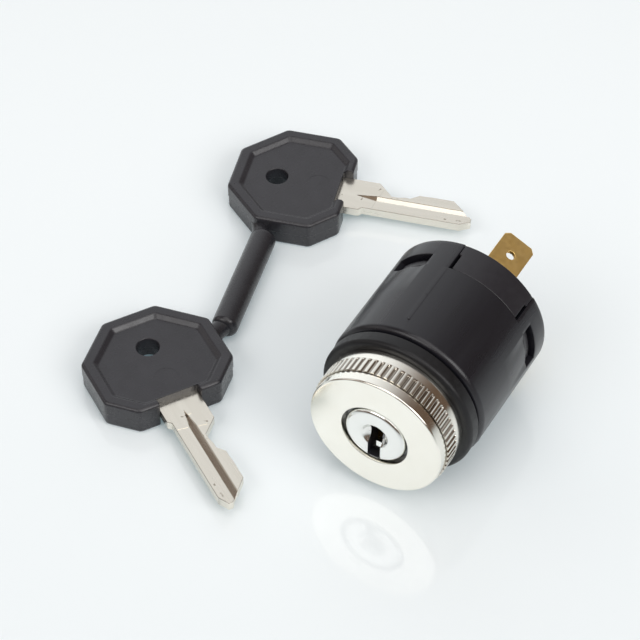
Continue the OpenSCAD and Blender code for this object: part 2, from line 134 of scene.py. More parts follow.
def prism(sections):  # stack of (z, outline) in mm, all outlines with the same number of points
    build = bmesh.new()
    rings = [[build.verts.new((x * mm, y * mm, z * mm)) for x, y in outline] for z, outline in sections]
    count = len(rings[0])
    for low, high in zip(rings, rings[1:]):
        for k in range(count):
            build.faces.new((low[k], low[(k + 1) % count], high[(k + 1) % count], high[k]))
    build.faces.new(rings[0])
    build.faces.new(rings[-1])
    bmesh.ops.recalc_face_normals(build, faces=build.faces)
    return build


def rounded(points, radius, steps=4):  # outline with its corners rounded off
    result = []
    for i, point in enumerate(points):
        here = Vector(point)
        back, ahead = Vector(points[i - 1]) - here, Vector(points[(i + 1) % len(points)]) - here
        reach = radius * tan((pi - back.angle(ahead)) / 2)
        a, b = here + back.normalized() * reach, here + ahead.normalized() * reach
        for k in range(steps + 1):
            t = k / steps
            result.append(tuple(a * (1 - t) ** 2 + here * 2 * t * (1 - t) + b * t ** 2))
    return result


def makePiece(name, build, *materials):
    mesh = bpy.data.meshes.new(name)
    build.to_mesh(mesh)
    build.free()
    for material in materials:
        mesh.materials.append(material)
    piece = bpy.data.objects.new(name, mesh)
    scene.collection.objects.link(piece)
    return piece


def bakeModifiers(piece):  # leaves a plain mesh
    graph = bpy.context.evaluated_depsgraph_get()
    mesh = bpy.data.meshes.new_from_object(piece.evaluated_get(graph))
    piece.modifiers.clear()
    piece.data = mesh


def carve(piece, shapes):  # cuts shapes out of a piece and throws the cutters away
    cutters = [makePiece("cutter", shape) for shape in shapes]
    for cutter in cutters:
        cut = piece.modifiers.new("cut", 'BOOLEAN')
        cut.operation = 'DIFFERENCE'
        cut.solver = 'EXACT'
        cut.object = cutter
    bakeModifiers(piece)
    for cutter in cutters:
        bpy.data.objects.remove(cutter)


def roundEdges(piece, width, angle=30, segments=2):  # small broken edges
    edge = piece.modifiers.new("edge", 'BEVEL')
    edge.width = width * mm
    edge.segments = segments
    edge.limit_method = 'ANGLE'
    edge.angle_limit = radians(angle)
    edge.use_clamp_overlap = False
    bakeModifiers(piece)


def shade(piece, angle=35):  # smooth, with flat faces kept flat
    piece.data.shade_smooth()
    piece.data.set_sharp_from_angle(angle=radians(angle))
    flat = piece.modifiers.new("flat", 'WEIGHTED_NORMAL')
    flat.keep_sharp = True
    bakeModifiers(piece)


def joinInto(piece, others):  # adds the meshes of other objects and removes them
    build = bmesh.new()
    build.from_mesh(piece.data)
    for other in others:
        build.from_mesh(other.data)
    build.to_mesh(piece.data)
    build.free()
    for other in others:
        bpy.data.objects.remove(other)


def settle(piece, body, slot, *nodes):  # a piece's body, finish slot (not used) and the solids it stands for
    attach(piece, body)
    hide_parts(*nodes)


def cadCopy(node, name, material):  # a solid's mesh merged into clean faces, for rounding
    build = bmesh.new()
    build.from_mesh(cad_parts[node].data)
    bmesh.ops.remove_doubles(build, verts=build.verts, dist=1e-6)
    bmesh.ops.dissolve_limit(build, angle_limit=radians(0.6), verts=build.verts, edges=build.edges)
    for face in build.faces:
        face.material_index = 0
    return makePiece(name, build, material)


# Finishes
# Nickel plate on turned brass: warm white metal, soft mirror with faint turning rings, a brown patina on
# the knurl that deepens into its grooves as painted shade
nickelPlate, tree, shader, coords = startMaterial("nickelPlate", {'Metallic': 1.0})
rings = turningRings(tree, coords, 0.22)
pits = addNode(tree, 'ShaderNodeTexNoise', {'Vector': coords, 'Scale': perMm(0.5), 'Detail': 3.0})
tone = layFinish(tree, shader, coords, ("#F1EEE4", "#F8F6EE"), 4.0, (0.12, 0.2), 1.6,
                 [(rings, 0.0009), (pits.outputs[0], 0.0012)])
# painted shade: the knurl's attribute mixes in a dark brown, most in the depths of its grooves
brown = addNode(tree, 'ShaderNodeAttribute', attribute_name="tarnishAndShade").outputs['Fac']
darkenedTone = addNode(tree, 'ShaderNodeMix', {0: brown, 6: tone, 7: linear("#5C4A3B")}, data_type='RGBA')
tree.links.new(darkenedTone.outputs[2], shader.inputs['Base Color'])

# Stainless steel, pressed and polished: colder and brighter than the nickel
stainlessSteel, tree, shader, coords = startMaterial("stainlessSteel", {'Metallic': 1.0})
rings = turningRings(tree, coords, 0.15)
layFinish(tree, shader, coords, ("#E8E9E6", "#F1F2EF"), 2.5, (0.17, 0.23), 1.4, [(rings, 0.0003)])

# Glass-filled nylon, moulded: near black, satin, with a fine grain and faint flow streaks along the axis
nylonBlack, tree, shader, coords = startMaterial("nylonBlack", {'IOR': 1.5})
streak = addNode(tree, 'ShaderNodeMapping', {'Vector': coords, 'Scale': (1, 0.12, 1)}).outputs[0]
grain = addNode(tree, 'ShaderNodeTexNoise', {'Vector': coords, 'Scale': perMm(0.16), 'Detail': 2.0})
swell = addNode(tree, 'ShaderNodeTexNoise', {'Vector': streak, 'Scale': perMm(1.6), 'Detail': 3.0})
layFinish(tree, shader, streak, ("#17171C", "#1D1D23"), 1.2, (0.26, 0.34), 2.2,
          [(swell.outputs[0], 0.006), (grain.outputs[0], 0.006)])

# The rear cover is the same nylon from another tool, a little duller
nylonCover, tree, shader, coords = startMaterial("nylonCover", {'IOR': 1.5})
grain = addNode(tree, 'ShaderNodeTexNoise', {'Vector': coords, 'Scale': perMm(0.2), 'Detail': 3.0})
layFinish(tree, shader, coords, ("#1E1D22", "#26252A"), 1.6, (0.3, 0.4), 1.2, [(grain.outputs[0], 0.007)])

# Moulded rubber: dull black that greys a little where it is rubbed
gasketRubber, tree, shader, coords = startMaterial("gasketRubber", {'IOR': 1.4})
grain = addNode(tree, 'ShaderNodeTexNoise', {'Vector': coords, 'Scale': perMm(0.25), 'Detail': 4.0})
layFinish(tree, shader, coords, ("#101012", "#18181B"), 2.0, (0.36, 0.48), 1.0, [(grain.outputs[0], 0.012)])

# Moulded polypropylene key heads: charcoal, spark-grained, with a parting line at mid-height
keyHeadPlastic, tree, shader, coords = startMaterial("keyHeadPlastic", {'IOR': 1.49})
grain = addNode(tree, 'ShaderNodeTexNoise', {'Vector': coords, 'Scale': perMm(0.22), 'Detail': 3.0})
height = addNode(tree, 'ShaderNodeSeparateXYZ', {0: coords}).outputs['Z']
fromMid = addNode(tree, 'ShaderNodeMath', {0: height, 1: 12.05 * mm}, operation='ADD')
offMid = addNode(tree, 'ShaderNodeMath', {0: fromMid.outputs[0]}, operation='ABSOLUTE')
parting = addNode(tree, 'ShaderNodeMapRange',
                  {'Value': offMid.outputs[0], 1: 0.0, 2: 0.12 * mm, 3: 1.0, 4: 0.0})
layFinish(tree, shader, coords, ("#28282C", "#343439"), 3.0, (0.22, 0.32), 2.0,
          [(parting.outputs[0], 0.04), (grain.outputs[0], 0.014)])

# The link comes from the runner, with a smoother skin
linkPlastic, tree, shader, coords = startMaterial("linkPlastic", {'IOR': 1.49})
drag = addNode(tree, 'ShaderNodeMapping',
               {'Vector': coords, 'Rotation': (0, 0, radians(20)), 'Scale': (1, 0.2, 1)}).outputs[0]
drawn = addNode(tree, 'ShaderNodeTexNoise', {'Vector': drag, 'Scale': perMm(0.4), 'Detail': 3.0})
layFinish(tree, shader, coords, ("#242428", "#2F2F33"), 2.5, (0.22, 0.32), 1.4, [(drawn.outputs[0], 0.01)])

# Nickel silver key blanks: warm grey metal with lengthways mill marks, from the blade's own coordinates
nickelSilver, tree, shader, coords = startMaterial("nickelSilver", {'Metallic': 1.0})
onBlade = addNode(tree, 'ShaderNodeAttribute', attribute_name="bladePlace").outputs['Vector']
drag = addNode(tree, 'ShaderNodeMapping', {'Vector': onBlade, 'Scale': (0.06, 1, 1)}).outputs[0]
milled = addNode(tree, 'ShaderNodeTexNoise', {'Vector': drag, 'Scale': perMm(0.3), 'Detail': 3.0})
tone = layFinish(tree, shader, drag, ("#DDD8CC", "#EAE6DC"), 1.6, (0.2, 0.28), 0.9,
                 [(milled.outputs[0], 0.0012)])
cloud = addNode(tree, 'ShaderNodeTexNoise', {'Vector': onBlade, 'Scale': perMm(1.1), 'Detail': 1.0})
speck = addNode(tree, 'ShaderNodeMapRange', {'Value': cloud.outputs[0], 1: 0.71, 2: 0.77, 3: 0.0, 4: 0.7})
darkenedTone = addNode(tree, 'ShaderNodeMix', {0: speck.outputs[0], 6: tone, 7: linear("#7A6C58")},
                data_type='RGBA')
tree.links.new(darkenedTone.outputs[2], shader.inputs['Base Color'])

# Rolled brass tabs: yellow metal, satin, streaked along the strip
rolledBrass, tree, shader, coords = startMaterial("rolledBrass", {'Metallic': 1.0})
drag = addNode(tree, 'ShaderNodeMapping', {'Vector': coords, 'Scale': (1, 0.08, 1)}).outputs[0]
rolled = addNode(tree, 'ShaderNodeTexNoise', {'Vector': drag, 'Scale': perMm(0.15), 'Detail': 3.0})
layFinish(tree, shader, coords, ("#DDB86C", "#E8C886"), 1.3, (0.34, 0.44), 0.8,
          [(rolled.outputs[0], 0.0008)])

# Finishes of the pieces inside, a dark steel painted into the keyway as its shade, and a darker brown metal
# for the keys' groove run-out and edges
inside = {  # name, metallic, two tones, roughness, grain in mm
    "castZinc": (1.0, ("#8F9092", "#A9AAAC"), (0.4, 0.55), 0.4),
    "plugZinc": (1.0, ("#77787E", "#8C8D93"), (0.35, 0.5), 0.3),
    "waferBrass": (1.0, ("#A48B52", "#BBA269"), (0.3, 0.45), 0.3),
    "oiledSteel": (1.0, ("#66676E", "#77787F"), (0.35, 0.5), 0.3),
    "cutterStain": (1.0, ("#78695A", "#8A7B6A"), (0.4, 0.55), 0.3),
    "springSteel": (1.0, ("#8A8D92", "#A5A8AC"), (0.25, 0.4), 0.3),
    "ballSteel": (1.0, ("#C2C4C8", "#D2D4D6"), (0.08, 0.14), 0.5),
    "acetal": (0.0, ("#E2E1DC", "#EFEEEA"), (0.35, 0.5), 0.4),
    "contactCopper": (1.0, ("#A9683A", "#C07C49"), (0.3, 0.45), 0.3),
    "silverRivet": (1.0, ("#BDB9AE", "#D0CDC4"), (0.25, 0.4), 0.3),
}
insideFinish = {}
for name, (metallic, tones, rough, size) in inside.items():
    insideFinish[name], tree, shader, coords = startMaterial(name, {'Metallic': metallic})
    grain = addNode(tree, 'ShaderNodeTexNoise', {'Vector': coords, 'Scale': perMm(size), 'Detail': 3.0})
    layFinish(tree, shader, coords, tones, 1.5, rough, 0.8, [(grain.outputs[0], 0.004)])
print("finishes:", len(bpy.data.materials))


# Bezel nut: turned body, and a ring of straight knurl grooves
nut = {"bore": 11.15, "outer": 13.12, "under": 12.45, "band": 12.75, "face": -7.5, "faceT": 1.5,
       "hole": 6.45, "dome": 0.12, "edge": 0.35, "rearEdge": 0.2, "knurlY": (-2.1, -5.3),
       "grooveR": 12.79, "grooves": 64, "tarnishAndShade": (0.16, 0.5)}
knurlRear, knurlFront = nut["knurlY"]
rim, band, hole = nut["outer"], nut["band"], nut["hole"]
proud = nut["face"] - nut["dome"]  # the face at its hole
faceRear = nut["face"] + nut["faceT"]
nutProfile = [(nut["bore"], 0.0), (rim - nut["rearEdge"], 0.0), (rim - 0.06, -0.06),
              (rim, -nut["rearEdge"]), (rim, knurlRear), (nut["under"], knurlRear),
              (nut["under"], knurlFront - 0.12), (band - 0.06, knurlFront - 0.12),
              (band, knurlFront - 0.18), (band, nut["face"] + nut["edge"] + 0.08)]
nutProfile += arcPoints(band - nut["edge"], nut["face"] + nut["edge"], nut["edge"], 0, -90)
nutProfile += [(band - nut["edge"] - 0.08, nut["face"]), (hole + 0.3, proud), (hole + 0.2, proud),
               (hole + 0.05, proud + 0.06), (hole, proud + 0.22), (hole, faceRear),
               (nut["bore"], faceRear)]
bezelNut = makePiece("bezelNut", turned(nutProfile, 192), nickelPlate)

grooveAcross = ((-0.5, 0.0), (-0.31, 0.0), (-0.25, 0.12), (-0.1, 0.9), (0.0, 1.0), (0.1, 0.9),
                (0.25, 0.12), (0.31, 0.0), (0.5, 0.0))  # place in one pitch, and share of the depth
grooveAlong = ((knurlRear, 0.0), (knurlRear - 0.12, 0.0), (knurlRear - 0.18, 0.5),
               (knurlRear - 0.28, 0.85), (knurlRear - 0.45, 1.0),
               (knurlFront, 1.0))  # the groove's rear end is scooped, its front end is open
grooveDepth = rim - nut["grooveR"]
groove = bmesh.new()
rows = []
for y, deep in grooveAlong:
    row = []
    for spot, share in grooveAcross:
        angle = 2 * pi * spot / nut["grooves"]
        r = rim - grooveDepth * share * deep
        row.append(groove.verts.new((r * cos(angle) * mm, y * mm, r * sin(angle) * mm)))
    rows.append(row)
foot = []
for vert in rows[-1]:
    outward = vert.co.xz.normalized() * nut["under"] * mm
    foot.append(groove.verts.new((outward.x, knurlFront * mm, outward.y)))
rows.append(foot)
for low, high in zip(rows, rows[1:]):
    for k in range(len(grooveAcross) - 1):
        groove.faces.new((low[k], high[k], high[k + 1], low[k + 1]))
groovePattern = makePiece("groovePattern", groove, nickelPlate)

ringTree = bpy.data.node_groups.new("knurlRing", 'GeometryNodeTree')
ringTree.interface.new_socket("Geometry", in_out='OUTPUT', socket_type='NodeSocketGeometry')
ringIds = {label: ringTree.interface.new_socket(label, in_out='INPUT', socket_type=kind).identifier
           for label, kind in (("Geometry", 'NodeSocketGeometry'), ("Pattern", 'NodeSocketObject'),
                               ("Grooves", 'NodeSocketInt'), ("Finish", 'NodeSocketMaterial'))}
given = addNode(ringTree, 'NodeGroupInput').outputs
index = addNode(ringTree, 'GeometryNodeInputIndex').outputs[0]
spots = addNode(ringTree, 'GeometryNodePoints', {'Count': given["Grooves"]})
pitch = addNode(ringTree, 'ShaderNodeMath', {0: 2 * pi, 1: given["Grooves"]}, operation='DIVIDE')
bearing = addNode(ringTree, 'ShaderNodeMath', {0: index, 1: pitch.outputs[0]}, operation='MULTIPLY')
turn = addNode(ringTree, 'ShaderNodeCombineXYZ', {'Y': bearing.outputs[0]})
one = addNode(ringTree, 'GeometryNodeObjectInfo', {'Object': given["Pattern"]})
ring = addNode(ringTree, 'GeometryNodeInstanceOnPoints',
               {'Points': spots.outputs[0], 'Instance': one.outputs['Geometry'],
                'Rotation': turn.outputs[0]})
real = addNode(ringTree, 'GeometryNodeRealizeInstances', {'Geometry': ring.outputs[0]})
whole = addNode(ringTree, 'GeometryNodeMergeByDistance',
                {'Geometry': real.outputs[0], 'Distance': 0.002 * mm})
plated = addNode(ringTree, 'GeometryNodeSetMaterial',
                 {'Geometry': whole.outputs[0], 'Material': given["Finish"]})
addNode(ringTree, 'NodeGroupOutput', {0: plated.outputs[0]})
knurl = makePiece("knurl", bmesh.new(), nickelPlate)
maker = knurl.modifiers.new("knurlRing", 'NODES')
maker.node_group = ringTree
maker[ringIds["Pattern"]] = groovePattern
maker[ringIds["Grooves"]] = nut["grooves"]
maker[ringIds["Finish"]] = nickelPlate
bakeModifiers(knurl)
bpy.data.objects.remove(groovePattern)
joinInto(bezelNut, [knurl])
shade(bezelNut, 30)
# painted shade: the knurl gets a little brown patina on its ridges, and more the deeper a point lies in a
# groove, where shade falls
tarnishAndShade = bezelNut.data.attributes.new("tarnishAndShade", 'FLOAT', 'POINT')
onRidge, inGroove = nut["tarnishAndShade"]
for n, vert in enumerate(bezelNut.data.vertices):
    sunk = (rim - vert.co.xz.length / mm) / grooveDepth
    if knurlFront - 0.01 < vert.co.y / mm < knurlRear - 0.01:
        tarnishAndShade.data[n].value = min(1.0, onRidge + inGroove * sunk)
settle(bezelNut, "nut", "nickel_plate", "bezel_nut")
print("bezel nut:", len(bezelNut.data.polygons), "faces")


# Panel gasket: square rubber ring with a rounded front edge
gasket = {"inner": 11.15, "outer": 14.7, "thick": 2.9, "round": 0.9}
wide, thick, soft = gasket["outer"], gasket["thick"], gasket["round"]
gasketProfile = [(gasket["inner"], 0.0), (wide - soft - 0.1, 0.0)]
gasketProfile += arcPoints(wide - soft, soft, soft, -90, 0, 8)
gasketProfile += [(wide, thick - 0.3), (wide - 0.1, thick - 0.08), (wide - 0.3, thick),
                  (gasket["inner"], thick)]
panelGasket = makePiece("panelGasket", turned(gasketProfile, 160), gasketRubber)
shade(panelGasket, 40)
settle(panelGasket, "housing", "gasket_rubber", "panel_gasket")
print("panel gasket:", len(panelGasket.data.polygons), "faces")


# Housing: a wall of two sheets with windows, lead-in ramps, openings for the tongues, and a mould seam
shell = {"outer": 15.0, "inner": 13.2, "hole": 11.0, "boss": 13.0, "bossY": 2.9, "shoulderY": 3.4,
         "edge": 1.1, "wallY": 5.4, "rimY": 27.7, "windowAt": 128.5, "windowHalf": 15.5,
         "windowY": (21.0, 23.8), "tongueAt": 65.5, "tongueHalf": 30.2, "tongueY": 21.2,
         "rampFrom": 13.6, "rampDepth": 0.5, "rampSide": 5.0, "soft": 0.16, "lip": 0.1, "seamFrom": 7.1,
         "seamRise": 0.09, "bead": 0.24, "step": 2.2}  # lengths in mm, places round the axis in degrees
softAngle = shell["soft"] / shell["outer"] * 180 / pi
edgeAngles = set()
for k in range(3):
    for at, reach in ((shell["windowAt"], shell["windowHalf"]), (shell["tongueAt"], shell["tongueHalf"])):
        for border in (at - reach, at + reach):
            edgeAngles.update(round((border + s * softAngle + 120 * k) % 360, 4) for s in (-1, 0, 1))
edgeAngles = sorted(edgeAngles)
angles = []
for low, high in zip(edgeAngles, edgeAngles[1:] + [edgeAngles[0] + 360]):
    steps = max(1, round((high - low) / shell["step"]))
    angles += [low + (high - low) * i / steps for i in range(steps)]

frontRows = [(shell["hole"], shell["bossY"]), (shell["boss"] - 0.12, shell["bossY"]),
             (shell["boss"], shell["bossY"] + 0.12), (shell["boss"], shell["shoulderY"]),
             (shell["outer"] - shell["edge"] - 0.1, shell["shoulderY"])]
frontRows += arcPoints(shell["outer"] - shell["edge"], shell["shoulderY"] + shell["edge"], shell["edge"],
                       -90, 0)
stops = {4.6, 5.6, 10.0, 15.5, 18.0, 22.4, 25.4, shell["tongueY"] - shell["soft"], shell["tongueY"],
         shell["rimY"] - 0.9, shell["rimY"] - 0.3}  # where the wall's rows of faces meet
stops.update(shell["seamFrom"] + step for step in (-0.2, 0.0, 0.2))
stops.update(shell["rampFrom"] + step for step in (-0.3, 0.0, 0.4))
for y in shell["windowY"]:
    stops.update((y - shell["soft"], y, y + shell["soft"]))
outerRows = frontRows + [(shell["outer"], y) for y in sorted(stops)]
outerRows += [(shell["outer"] - 0.08, shell["rimY"] - 0.08), (shell["outer"] - 0.3, shell["rimY"])]
innerRows = [(shell["hole"] + (shell["inner"] - shell["hole"]) * i / len(frontRows), shell["wallY"])
             for i in range(len(frontRows) + 1)]
innerRows += [(shell["inner"], max(y, shell["wallY"] + 0.05)) for r, y in outerRows[len(frontRows) + 1:]]


def offAngle(angle, at):  # distance to the nearest of three places round the housing, in degrees
    return min(abs((angle - at - 120 * k + 180) % 360 - 180) for k in range(3))


def isOpen(angle, y):
    if offAngle(angle, shell["tongueAt"]) < shell["tongueHalf"] and y > shell["tongueY"]:
        return True
    low, high = shell["windowY"]
    return offAngle(angle, shell["windowAt"]) < shell["windowHalf"] and low < y < high


count = len(angles)
opened = {}
for i in range(count):
    middle = (angles[i] + (angles[(i + 1) % count] - angles[i]) % 360 / 2) % 360
    for j in range(len(outerRows) - 1):
        opened[i, j] = isOpen(middle, (outerRows[j][1] + outerRows[j + 1][1]) / 2)

seamAngle = shell["tongueAt"] + shell["tongueHalf"] + softAngle
build = bmesh.new()
sheets = {}
for i, angle in enumerate(angles):
    for j, (r, y) in enumerate(outerRows):
        touching = [opened.get(((i + a) % count, j + b), False) for a in (-1, 0) for b in (-1, 0)]
        ramp = (y - shell["rampFrom"]) / (shell["windowY"][0] - shell["rampFrom"])
        inward = (shell["windowHalf"] - offAngle(angle, shell["windowAt"])) / shell["rampSide"]
        if 0 < ramp < 1.001 and inward > 0:
            r -= shell["rampDepth"] * ramp ** 1.5 * min(1.0, inward)  # it fades out towards its sides
        if any(touching):
            r -= shell["lip"]  # rounded edge of an opening
        fromSeam = abs((angle - seamAngle + 180) % 360 - 180)
        if fromSeam < 0.1 * softAngle and shell["seamFrom"] <= y < shell["tongueY"] - 0.2:
            r += shell["seamRise"]
        ca, sa = cos(radians(angle)), sin(radians(angle))
        sheets[0, i, j] = build.verts.new((r * ca * mm, y * mm, r * sa * mm))
        ri, yi = innerRows[j]
        sheets[1, i, j] = build.verts.new((ri * ca * mm, yi * mm, ri * sa * mm))
for i in range(count):
    m = (i + 1) % count
    for j in range(len(outerRows) - 1):
        if opened[i, j]:
            continue
        for s in (0, 1):
            build.faces.new((sheets[s, i, j], sheets[s, i, j + 1], sheets[s, m, j + 1], sheets[s, m, j]))
        borders = ((opened[(i - 1) % count, j], (i, j), (i, j + 1)), (opened[m, j], (m, j), (m, j + 1)),
                   (j == 0 or opened[i, j - 1], (i, j), (m, j)),
                   (j == len(outerRows) - 2 or opened[i, j + 1], (i, j + 1), (m, j + 1)))
        for bare, a, b in borders:
            if bare:
                build.faces.new((sheets[(0,) + a], sheets[(0,) + b], sheets[(1,) + b], sheets[(1,) + a]))
loose = [vert for vert in build.verts if not vert.link_faces]
bmesh.ops.delete(build, geom=loose, context='VERTS')
bmesh.ops.recalc_face_normals(build, faces=build.faces)
seamEnd = Vector((shell["outer"] * cos(radians(seamAngle)), shell["seamFrom"],
                  shell["outer"] * sin(radians(seamAngle)))) * mm
bmesh.ops.create_icosphere(build, subdivisions=2, radius=shell["bead"] * mm,
                           matrix=Matrix.Translation(seamEnd))
housingShell = makePiece("housingShell", build, nylonBlack)
shade(housingShell, 42)
settle(housingShell, "housing", "housing_nylon", "housing")
print("housing:", len(housingShell.data.polygons), "faces")


# Terminal base and tabs: the solids with their edges broken, and a lead-in at each tab's tip
terminals = {"baseEdge": 0.18, "tabEdge": 0.1, "leadIn": 0.3, "tip": 1.6}
terminalBase = cadCopy("terminal_base", "terminalBase", nylonCover)
roundEdges(terminalBase, terminals["baseEdge"], 40)
shade(terminalBase, 40)
settle(terminalBase, "housing", "base_nylon", "terminal_base")
for k in (1, 2, 3):
    tab = cadCopy("terminal_%d" % k, "terminalTab%d" % k, rolledBrass)
    build = bmesh.new()
    build.from_mesh(tab.data)
    build.normal_update()
    facing = max(build.faces, key=lambda face: face.calc_area()).normal.copy()
    tipFrom = max(vert.co.y for vert in build.verts) - terminals["tip"] * mm
    tipEdges = []
    for edge in build.edges:
        flats = [face for face in edge.link_faces if abs(face.normal.dot(facing)) > 0.99]
        if min(vert.co.y for vert in edge.verts) > tipFrom and len(flats) == 1:
            tipEdges.append(edge)
    bmesh.ops.bevel(build, geom=tipEdges, offset=terminals["leadIn"] * mm, segments=1, affect='EDGES')
    build.to_mesh(tab.data)
    build.free()
    roundEdges(tab, terminals["tabEdge"], 25)
    shade(tab, 35)
    settle(tab, "housing", "tab_brass", "terminal_%d" % k)
print("terminal base and tabs")


# Plug cap: pressed steel cup with a dish, the keyway cut through it and the ward set back in the keyway
cap = {"r": 5.85, "edge": 0.8, "face": -7.62, "rear": -5.7, "dish": 2.6, "dishR": 1.0, "dishDepth": 1.3,
       "slot": (-1.2, 1.2, -5.3, 1.9, -8.5, -5.0),  # left, right, low, top, front, rear
       "ward": (0.1, 1.3, -3.0, -1.7, -6.9, -5.7), "slotEdge": 0.05,
       "dishWall": ((0.1, 0.02), (-0.08, 0.12), (-0.25, 0.36), (-0.55, 0.72), (-0.95, 1.02),
                    (-1.35, 1.22))}  # step in radius from the dish's edge, and depth there
capFace, capEdge, dishFloor = cap["face"], cap["edge"], cap["face"] + cap["dishDepth"]
capProfile = [(0.0, cap["rear"]), (cap["r"], cap["rear"]), (cap["r"], capFace + capEdge + 0.1)]
capProfile += arcPoints(cap["r"] - capEdge, capFace + capEdge, capEdge, 0, -90, 10)
capProfile += [(cap["r"] - capEdge - 0.15, capFace), (cap["dish"] + 0.3, capFace)]
capProfile += [(cap["dish"] + out, capFace + depth) for out, depth in cap["dishWall"]]
capProfile += [(cap["dishR"], dishFloor), (0.0, dishFloor)]
plugCap = makePiece("plugCap", turned(capProfile, 128), stainlessSteel, insideFinish["oiledSteel"])


def keywayBlock(left, right, low, top, front, rear):  # block through the cap's face, limits in mm
    section = [(left, low), (right, low), (right, top), (left, top)]
    block = prism([(-rear, section), (-front, section)])
    bmesh.ops.rotate(block, verts=block.verts, matrix=Matrix.Rotation(radians(90), 3, 'X'))
    return block


carve(plugCap, [keywayBlock(*cap["slot"])])
for face in plugCap.data.polygons:  # painted shade: the slot's faces get a dark steel that stands in for the shade deep in the keyway
    if face.center.xz.length / mm < cap["r"] - 0.2 and face.normal.y > -0.2:
        face.material_index = 1
roundEdges(plugCap, cap["slotEdge"], 50)
joinInto(plugCap, [makePiece("ward", keywayBlock(*cap["ward"]))])
shade(plugCap, 30)
settle(plugCap, "lock", "cap_steel", "plug_cap")
print("plug cap:", len(plugCap.data.polygons), "faces")


# Keys on the table: two moulded heads joined by a link, and their blades
keys = {"places": ((-48.2, 49.4, 15.9), (-46.4, -4.3, -33.2)),  # x, y and turn of each key
        "table": -15.0, "half": 12.75, "cut": 2.7, "thick": 5.9, "edge": 0.4, "parting": 0.1, "corner": 1.4,
        "hole": (-4.2, 2.15), "draft": 0.25, "mark": (4.0, 2.2, 0.025),  # x, radius, and the mark's depth
        "notch": (8.05, 4.02), "field": 0.8, "fieldCut": 0.8, "fieldCorner": 1.0,
        "fieldWall": ((0.0, 3.05), (0.04, 2.85), (0.13, 2.7), (0.66, 2.18), (0.76, 2.03), (0.8, 1.82),
                      (0.9, 1.45)),  # height over the field's floor, and width of the border there
        "soft": 0.22}


def headOutline(half, cut, corner):  # octagon with its blade side set back
    s = half * tan(radians(22.5))
    return rounded([(half - cut, -s - cut), (half - cut, s + cut), (s, half), (-s, half), (-half, s),
                    (-half, -s), (-s, -half), (s, -half)], corner)


def circle(x, y, r, steps=40):
    return [(x + r * cos(2 * pi * i / steps), y + r * sin(2 * pi * i / steps)) for i in range(steps)]


def onTable(i):
    x, y, turnBy = keys["places"][i]
    lift = Matrix.Translation((x * mm, y * mm, keys["table"] * mm))
    return lift @ Matrix.Rotation(radians(turnBy), 4, 'Z')


def seen(i, x, y):  # point of a key's own drawing, seen from above, in mm
    return (onTable(i) @ Vector((x * mm, y * mm, 0))).xy / mm


headT, headEdge, half, cut = keys["thick"], keys["edge"], keys["half"], keys["cut"]
big = headOutline(half, cut, keys["corner"])
small = headOutline(half - headEdge, cut, keys["corner"])
lower = headOutline(half - keys["parting"], cut, keys["corner"])
midHeight = headT / 2
headSections = [(0, small), (headEdge, lower), (midHeight - 0.2, lower), (midHeight + 0.1, big),
                (headT - headEdge, big), (headT, small)]  # the mould's lower half is a little smaller
hollow = [(up - keys["field"], headOutline(half - border, cut - keys["fieldCut"], keys["fieldCorner"]))
          for up, border in keys["fieldWall"]]  # the wall leans out and is round at its foot and its top
notchX, notchHalf = keys["notch"]
notch = [(notchX, -notchHalf), (notchX + 5, -notchHalf), (notchX + 5, notchHalf), (notchX, notchHalf)]
holeX, holeR = keys["hole"]
ringHole = circle(holeX, 0, holeR)
drafted = circle(holeX, 0, holeR - keys["draft"])
markX, markR, markDepth = keys["mark"]
markRing = circle(markX, 0, markR)
fieldZ = headT - keys["field"]
heads = []
for i in (0, 1):
    head = makePiece("head", prism(headSections), keyHeadPlastic)
    carve(head, [prism([(headT + z, shape) for z, shape in hollow]),
                 prism([(-z, shape) for z, shape in hollow]),
                 prism([(-1, notch), (headT + 1, notch)]),
                 prism([(-1, drafted), (headT, ringHole), (headT + 1, ringHole)])])
    roundEdges(head, keys["soft"], 30, 3)
    carve(head, [prism([(fieldZ - markDepth, markRing), (fieldZ + 0.3, markRing)])])  # ejector mark
    head.data.transform(onTable(i))
    heads.append(head)

link = {"r": 2.5, "round": 1.2, "from": (2.6, -0.8), "to": (0.8, 2.0), "side": -3.3,
        "necks": ((1.7, (-0.4, 2.6), 1.1, (-0.4, 0.1)),  # radius, place on the head, reach, shift
                  (1.8, (-0.3, -1.2), -1.6, (0.0, 0.0)))}
headCorner = seen(0, -half * tan(radians(22.5)), -half)
headSide = seen(1, link["side"], half)
linkEnds = [headCorner + Vector(link["from"]), headSide + Vector(link["to"])]
linkWay = (linkEnds[1] - linkEnds[0]).normalized()
linkZ = keys["table"] + midHeight


def rodBetween(a, b, profile, segments):  # turned profile laid from a to b at the keys' mid-height
    rod = turned(profile, segments)
    run = (b - a).normalized()
    axis = Vector((run.x, run.y, 0))
    frameTurn = Matrix((axis.cross(Vector((0, 0, 1))), axis, Vector((0, 0, 1)))).transposed().to_4x4()
    rod.transform(Matrix.Translation((a.x * mm, a.y * mm, linkZ * mm)) @ frameTurn)
    for face in rod.faces:
        face.material_index = 1
    return makePiece("rod", rod, keyHeadPlastic, linkPlastic)


